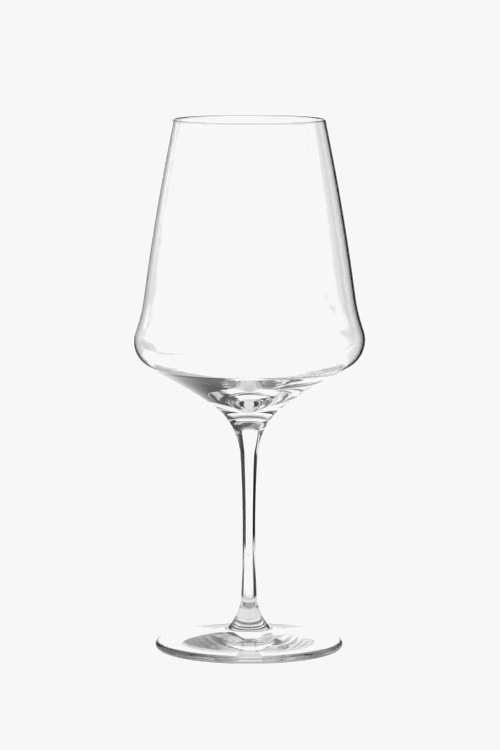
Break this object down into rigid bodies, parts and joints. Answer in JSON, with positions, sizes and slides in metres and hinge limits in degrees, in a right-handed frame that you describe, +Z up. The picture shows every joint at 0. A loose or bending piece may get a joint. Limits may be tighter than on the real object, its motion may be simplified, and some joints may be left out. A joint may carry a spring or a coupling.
{
  "type": "wine glass",
  "caption": "Clear stemmed wine glass: a tall bowl that narrows to the lip above a low, rounded shoulder, on a slender flared stem and a round foot. Holds wine for drinking.",
  "frame": {"origin": "centre of the ring that the foot rests on, at the table", "axes": "+Z up along the stem; the glass is the same all round, so X and Y are any two level directions"},
  "size_m": [0.1006, 0.1006, 0.23],
  "materials": {
    "clear_glass": "clear lead-free crystal, fire-polished"
  },
  "bodies": {
    "root": {"bowl": "clear_glass", "stem": "clear_glass", "foot": "clear_glass"}
  },
  "joints": []
}
